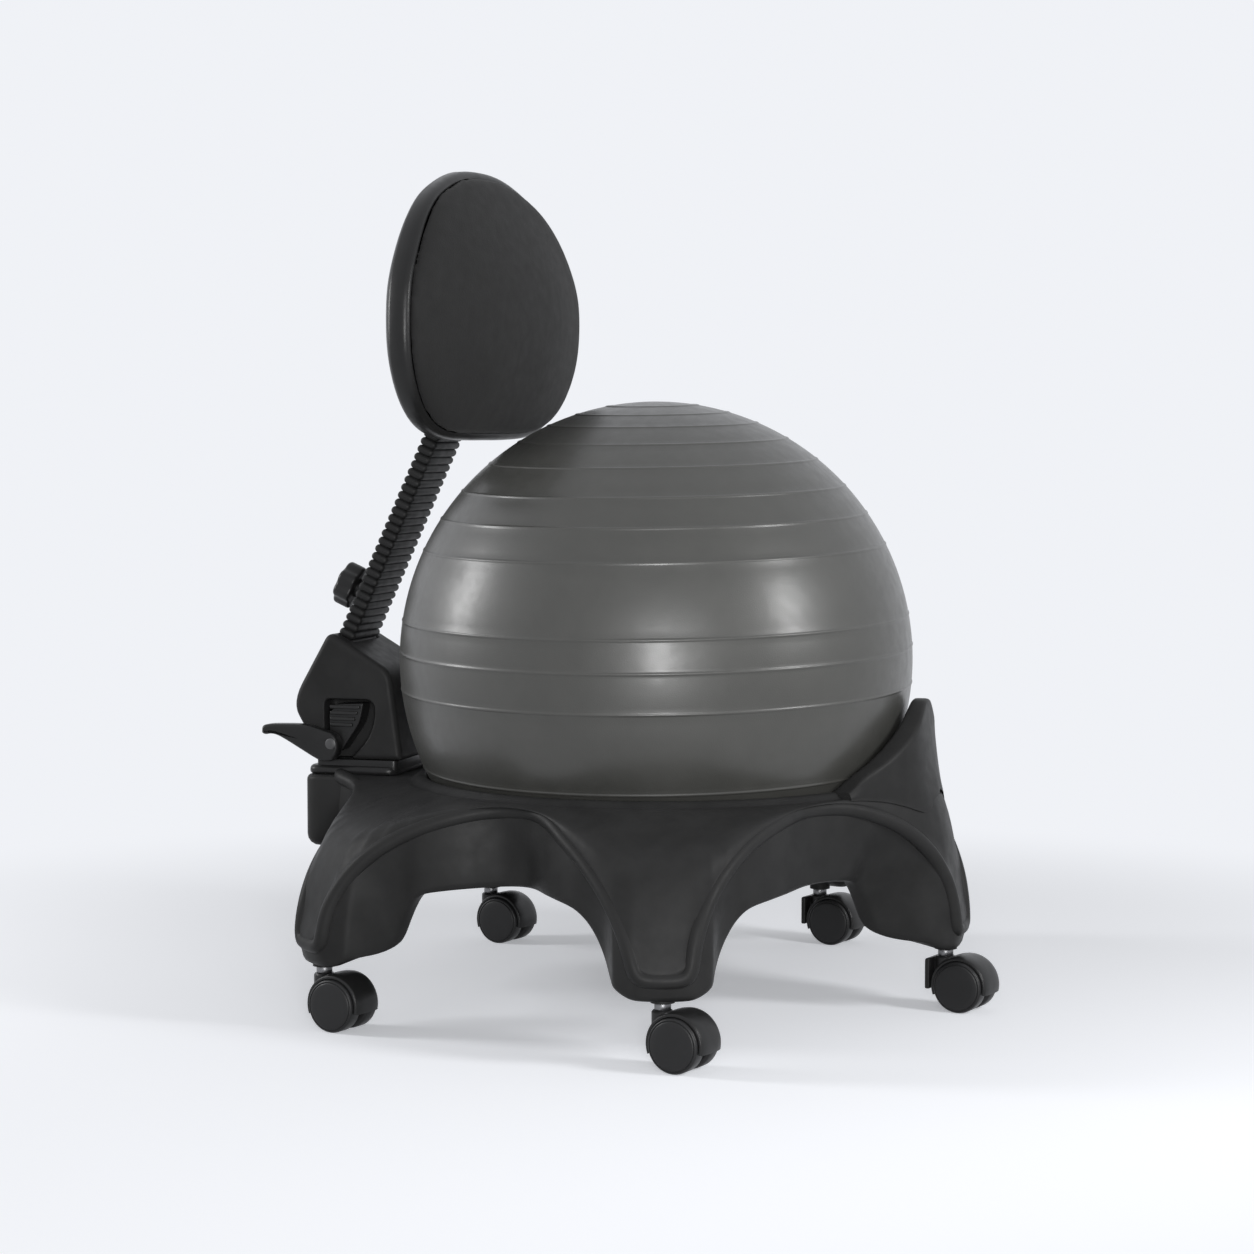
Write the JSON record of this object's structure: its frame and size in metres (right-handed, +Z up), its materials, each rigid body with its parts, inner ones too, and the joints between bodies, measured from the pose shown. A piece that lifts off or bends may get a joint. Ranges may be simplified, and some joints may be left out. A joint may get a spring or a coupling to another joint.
{
  "type": "balance ball chair",
  "caption": "Exercise ball seated in a legged ring base on swivel casters, with a front ball stop and a height-adjustable backrest on a sliding rear carriage.",
  "frame": {"origin": "on the floor, at the middle of the footprint", "axes": "+Z up; the chair faces -Y, its backrest is at +Y, and its latch lever is on the -X side"},
  "size_m": [0.7292, 0.7402, 0.821],
  "materials": {
    "base_plastic": "satin moulded",
    "ball_vinyl": "satin",
    "dark_plastic": "satin",
    "bellows_rubber": "matte",
    "pad_cover": "matte",
    "dark_steel": "satin",
    "plated_steel": "plated",
    "wheel_plastic": "satin",
    "valve_plastic": "satin"
  },
  "bodies": {
    "base": {"base_shell": "base_plastic", "front_ball_stop": "base_plastic", "ball": "ball_vinyl", "ball_valve_plug": "valve_plastic", "caster_stem_front": "plated_steel", "caster_stem_near_side": "plated_steel", "caster_stem_near_rear": "plated_steel", "caster_stem_far_rear": "plated_steel", "caster_stem_far_side": "plated_steel"},
    "carriage": {"carriage_plate": "dark_plastic", "carriage_housing": "base_plastic", "latch_catch": "dark_plastic", "latch_pin": "dark_steel", "post_fixed_bar": "dark_steel", "post_bellows": "bellows_rubber"},
    "latch": {"latch_lever": "dark_plastic"},
    "backrest": {"post_sliding_bar": "dark_steel", "backrest_shell": "dark_plastic", "backrest_cushion": "pad_cover", "bar_bolt_near": "dark_steel", "bar_bolt_far": "dark_steel"},
    "knob": {"height_knob": "dark_plastic", "height_knob_stud": "plated_steel"},
    "caster_front": {"caster_hood_front": "dark_plastic"},
    "wheels_front": {"caster_axle_front": "dark_steel", "caster_wheel_left_front": "wheel_plastic", "caster_wheel_right_front": "wheel_plastic"},
    "brake_front": {"caster_brake_front": "dark_plastic"},
    "caster_near_side": {"caster_hood_near_side": "dark_plastic"},
    "wheels_near_side": {"caster_axle_near_side": "dark_steel", "caster_wheel_left_near_side": "wheel_plastic", "caster_wheel_right_near_side": "wheel_plastic"},
    "caster_near_rear": {"caster_hood_near_rear": "dark_plastic"},
    "wheels_near_rear": {"caster_axle_near_rear": "dark_steel", "caster_wheel_left_near_rear": "wheel_plastic", "caster_wheel_right_near_rear": "wheel_plastic"},
    "caster_far_rear": {"caster_hood_far_rear": "dark_plastic"},
    "wheels_far_rear": {"caster_axle_far_rear": "dark_steel", "caster_wheel_left_far_rear": "wheel_plastic", "caster_wheel_right_far_rear": "wheel_plastic"},
    "caster_far_side": {"caster_hood_far_side": "dark_plastic"},
    "wheels_far_side": {"caster_axle_far_side": "dark_steel", "caster_wheel_left_far_side": "wheel_plastic", "caster_wheel_right_far_side": "wheel_plastic"},
    "brake_far_side": {"caster_brake_far_side": "dark_plastic"}
  },
  "joints": [
    {"name": "carriage_slide", "type": "slide", "parent": "base", "child": "carriage", "axis": [0, 1, 0], "range_m": [0, 0.03]},
    {"name": "latch_hinge", "type": "hinge", "parent": "carriage", "child": "latch", "pos_m": [-0.06192, 0.29469, 0.249], "axis": [1, 0, 0], "range_deg": [0, 55]},
    {"name": "back_height", "type": "slide", "parent": "carriage", "child": "backrest", "axis": [0, -0.4147, 0.91], "range_m": [-0.015, 0.06], "deforming": ["post_bellows"]},
    {"name": "knob_turn", "type": "hinge", "parent": "carriage", "child": "knob", "pos_m": [0.00408, 0.27391, 0.39341], "axis": [0, 0.91, 0.4147], "range_deg": [0, 360]},
    {"name": "swivel_front", "type": "hinge", "parent": "base", "child": "caster_front", "pos_m": [0.00408, -0.31681, 0.05], "axis": [0, 0, 1], "continuous": true},
    {"name": "roll_front", "type": "hinge", "parent": "caster_front", "child": "wheels_front", "pos_m": [-0.00136, -0.3371, 0.025], "axis": [0.9659, -0.2588, 0], "continuous": true},
    {"name": "brake_front", "type": "hinge", "parent": "caster_front", "child": "brake_front", "pos_m": [0.00747, -0.30416, 0.0475], "axis": [0.9659, -0.2588, 0], "range_deg": [0, 12]},
    {"name": "swivel_near_side", "type": "hinge", "parent": "base", "child": "caster_near_side", "pos_m": [-0.3322, -0.12087, 0.05], "axis": [0, 0, 1], "continuous": true},
    {"name": "roll_near_side", "type": "hinge", "parent": "caster_near_side", "child": "wheels_near_side", "pos_m": [-0.33763, -0.14116, 0.025], "axis": [0.9659, -0.2588, 0], "continuous": true},
    {"name": "swivel_near_rear", "type": "hinge", "parent": "base", "child": "caster_near_rear", "pos_m": [-0.24551, 0.23284, 0.05], "axis": [0, 0, 1], "continuous": true},
    {"name": "roll_near_rear", "type": "hinge", "parent": "caster_near_rear", "child": "wheels_near_rear", "pos_m": [-0.25094, 0.21256, 0.025], "axis": [0.9659, -0.2588, 0], "continuous": true},
    {"name": "swivel_far_rear", "type": "hinge", "parent": "base", "child": "caster_far_rear", "pos_m": [0.25366, 0.23284, 0.05], "axis": [0, 0, 1], "continuous": true},
    {"name": "roll_far_rear", "type": "hinge", "parent": "caster_far_rear", "child": "wheels_far_rear", "pos_m": [0.24823, 0.21256, 0.025], "axis": [0.9659, -0.2588, 0], "continuous": true},
    {"name": "swivel_far_side", "type": "hinge", "parent": "base", "child": "caster_far_side", "pos_m": [0.34035, -0.12087, 0.05], "axis": [0, 0, 1], "continuous": true},
    {"name": "roll_far_side", "type": "hinge", "parent": "caster_far_side", "child": "wheels_far_side", "pos_m": [0.33491, -0.14116, 0.025], "axis": [0.9659, -0.2588, 0], "continuous": true},
    {"name": "brake_far_side", "type": "hinge", "parent": "caster_far_side", "child": "brake_far_side", "pos_m": [0.34374, -0.10822, 0.0475], "axis": [0.9659, -0.2588, 0], "range_deg": [0, 12]}
  ]
}
